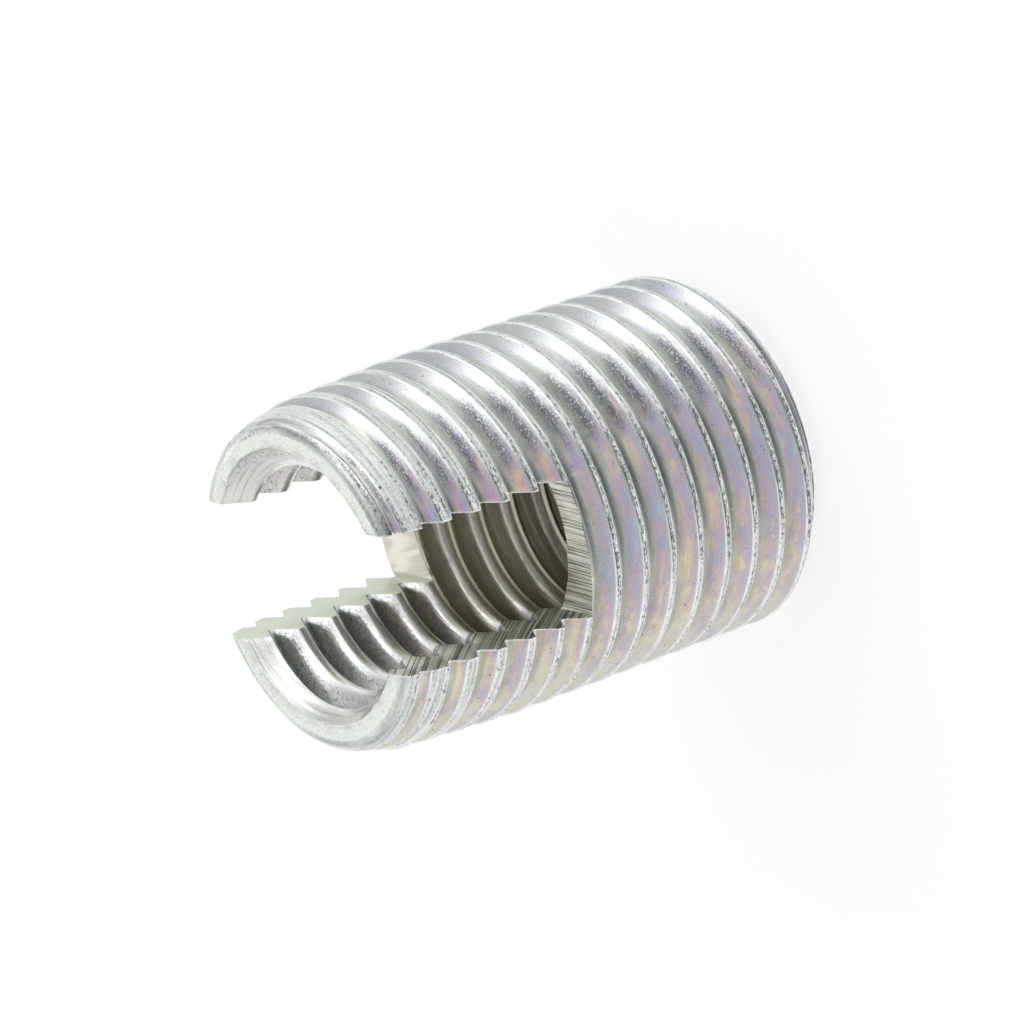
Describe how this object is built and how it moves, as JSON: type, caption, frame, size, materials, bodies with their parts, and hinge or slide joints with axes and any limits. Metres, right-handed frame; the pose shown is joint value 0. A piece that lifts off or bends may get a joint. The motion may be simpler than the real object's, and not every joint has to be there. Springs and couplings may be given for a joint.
{
  "type": "threaded insert",
  "caption": "Slotted self-cutting threaded insert: a steel sleeve with a coarse tapered outer thread, a metric inner thread right through, and a cutting slot across one end.",
  "frame": {"origin": "centre of the plain end face, which is the middle of the bottom of the object's box", "axes": "+Z along the sleeve's axis, from the plain end towards the slotted end; the slot is cut through along Y, so its two walls face +X and -X"},
  "size_m": [0.016, 0.016, 0.022],
  "materials": {
    "zinc_plated_steel": "bright zinc plating with iridescent clear passivation, as turned and milled"
  },
  "bodies": {
    "root": {"insert": "zinc_plated_steel"}
  },
  "joints": []
}
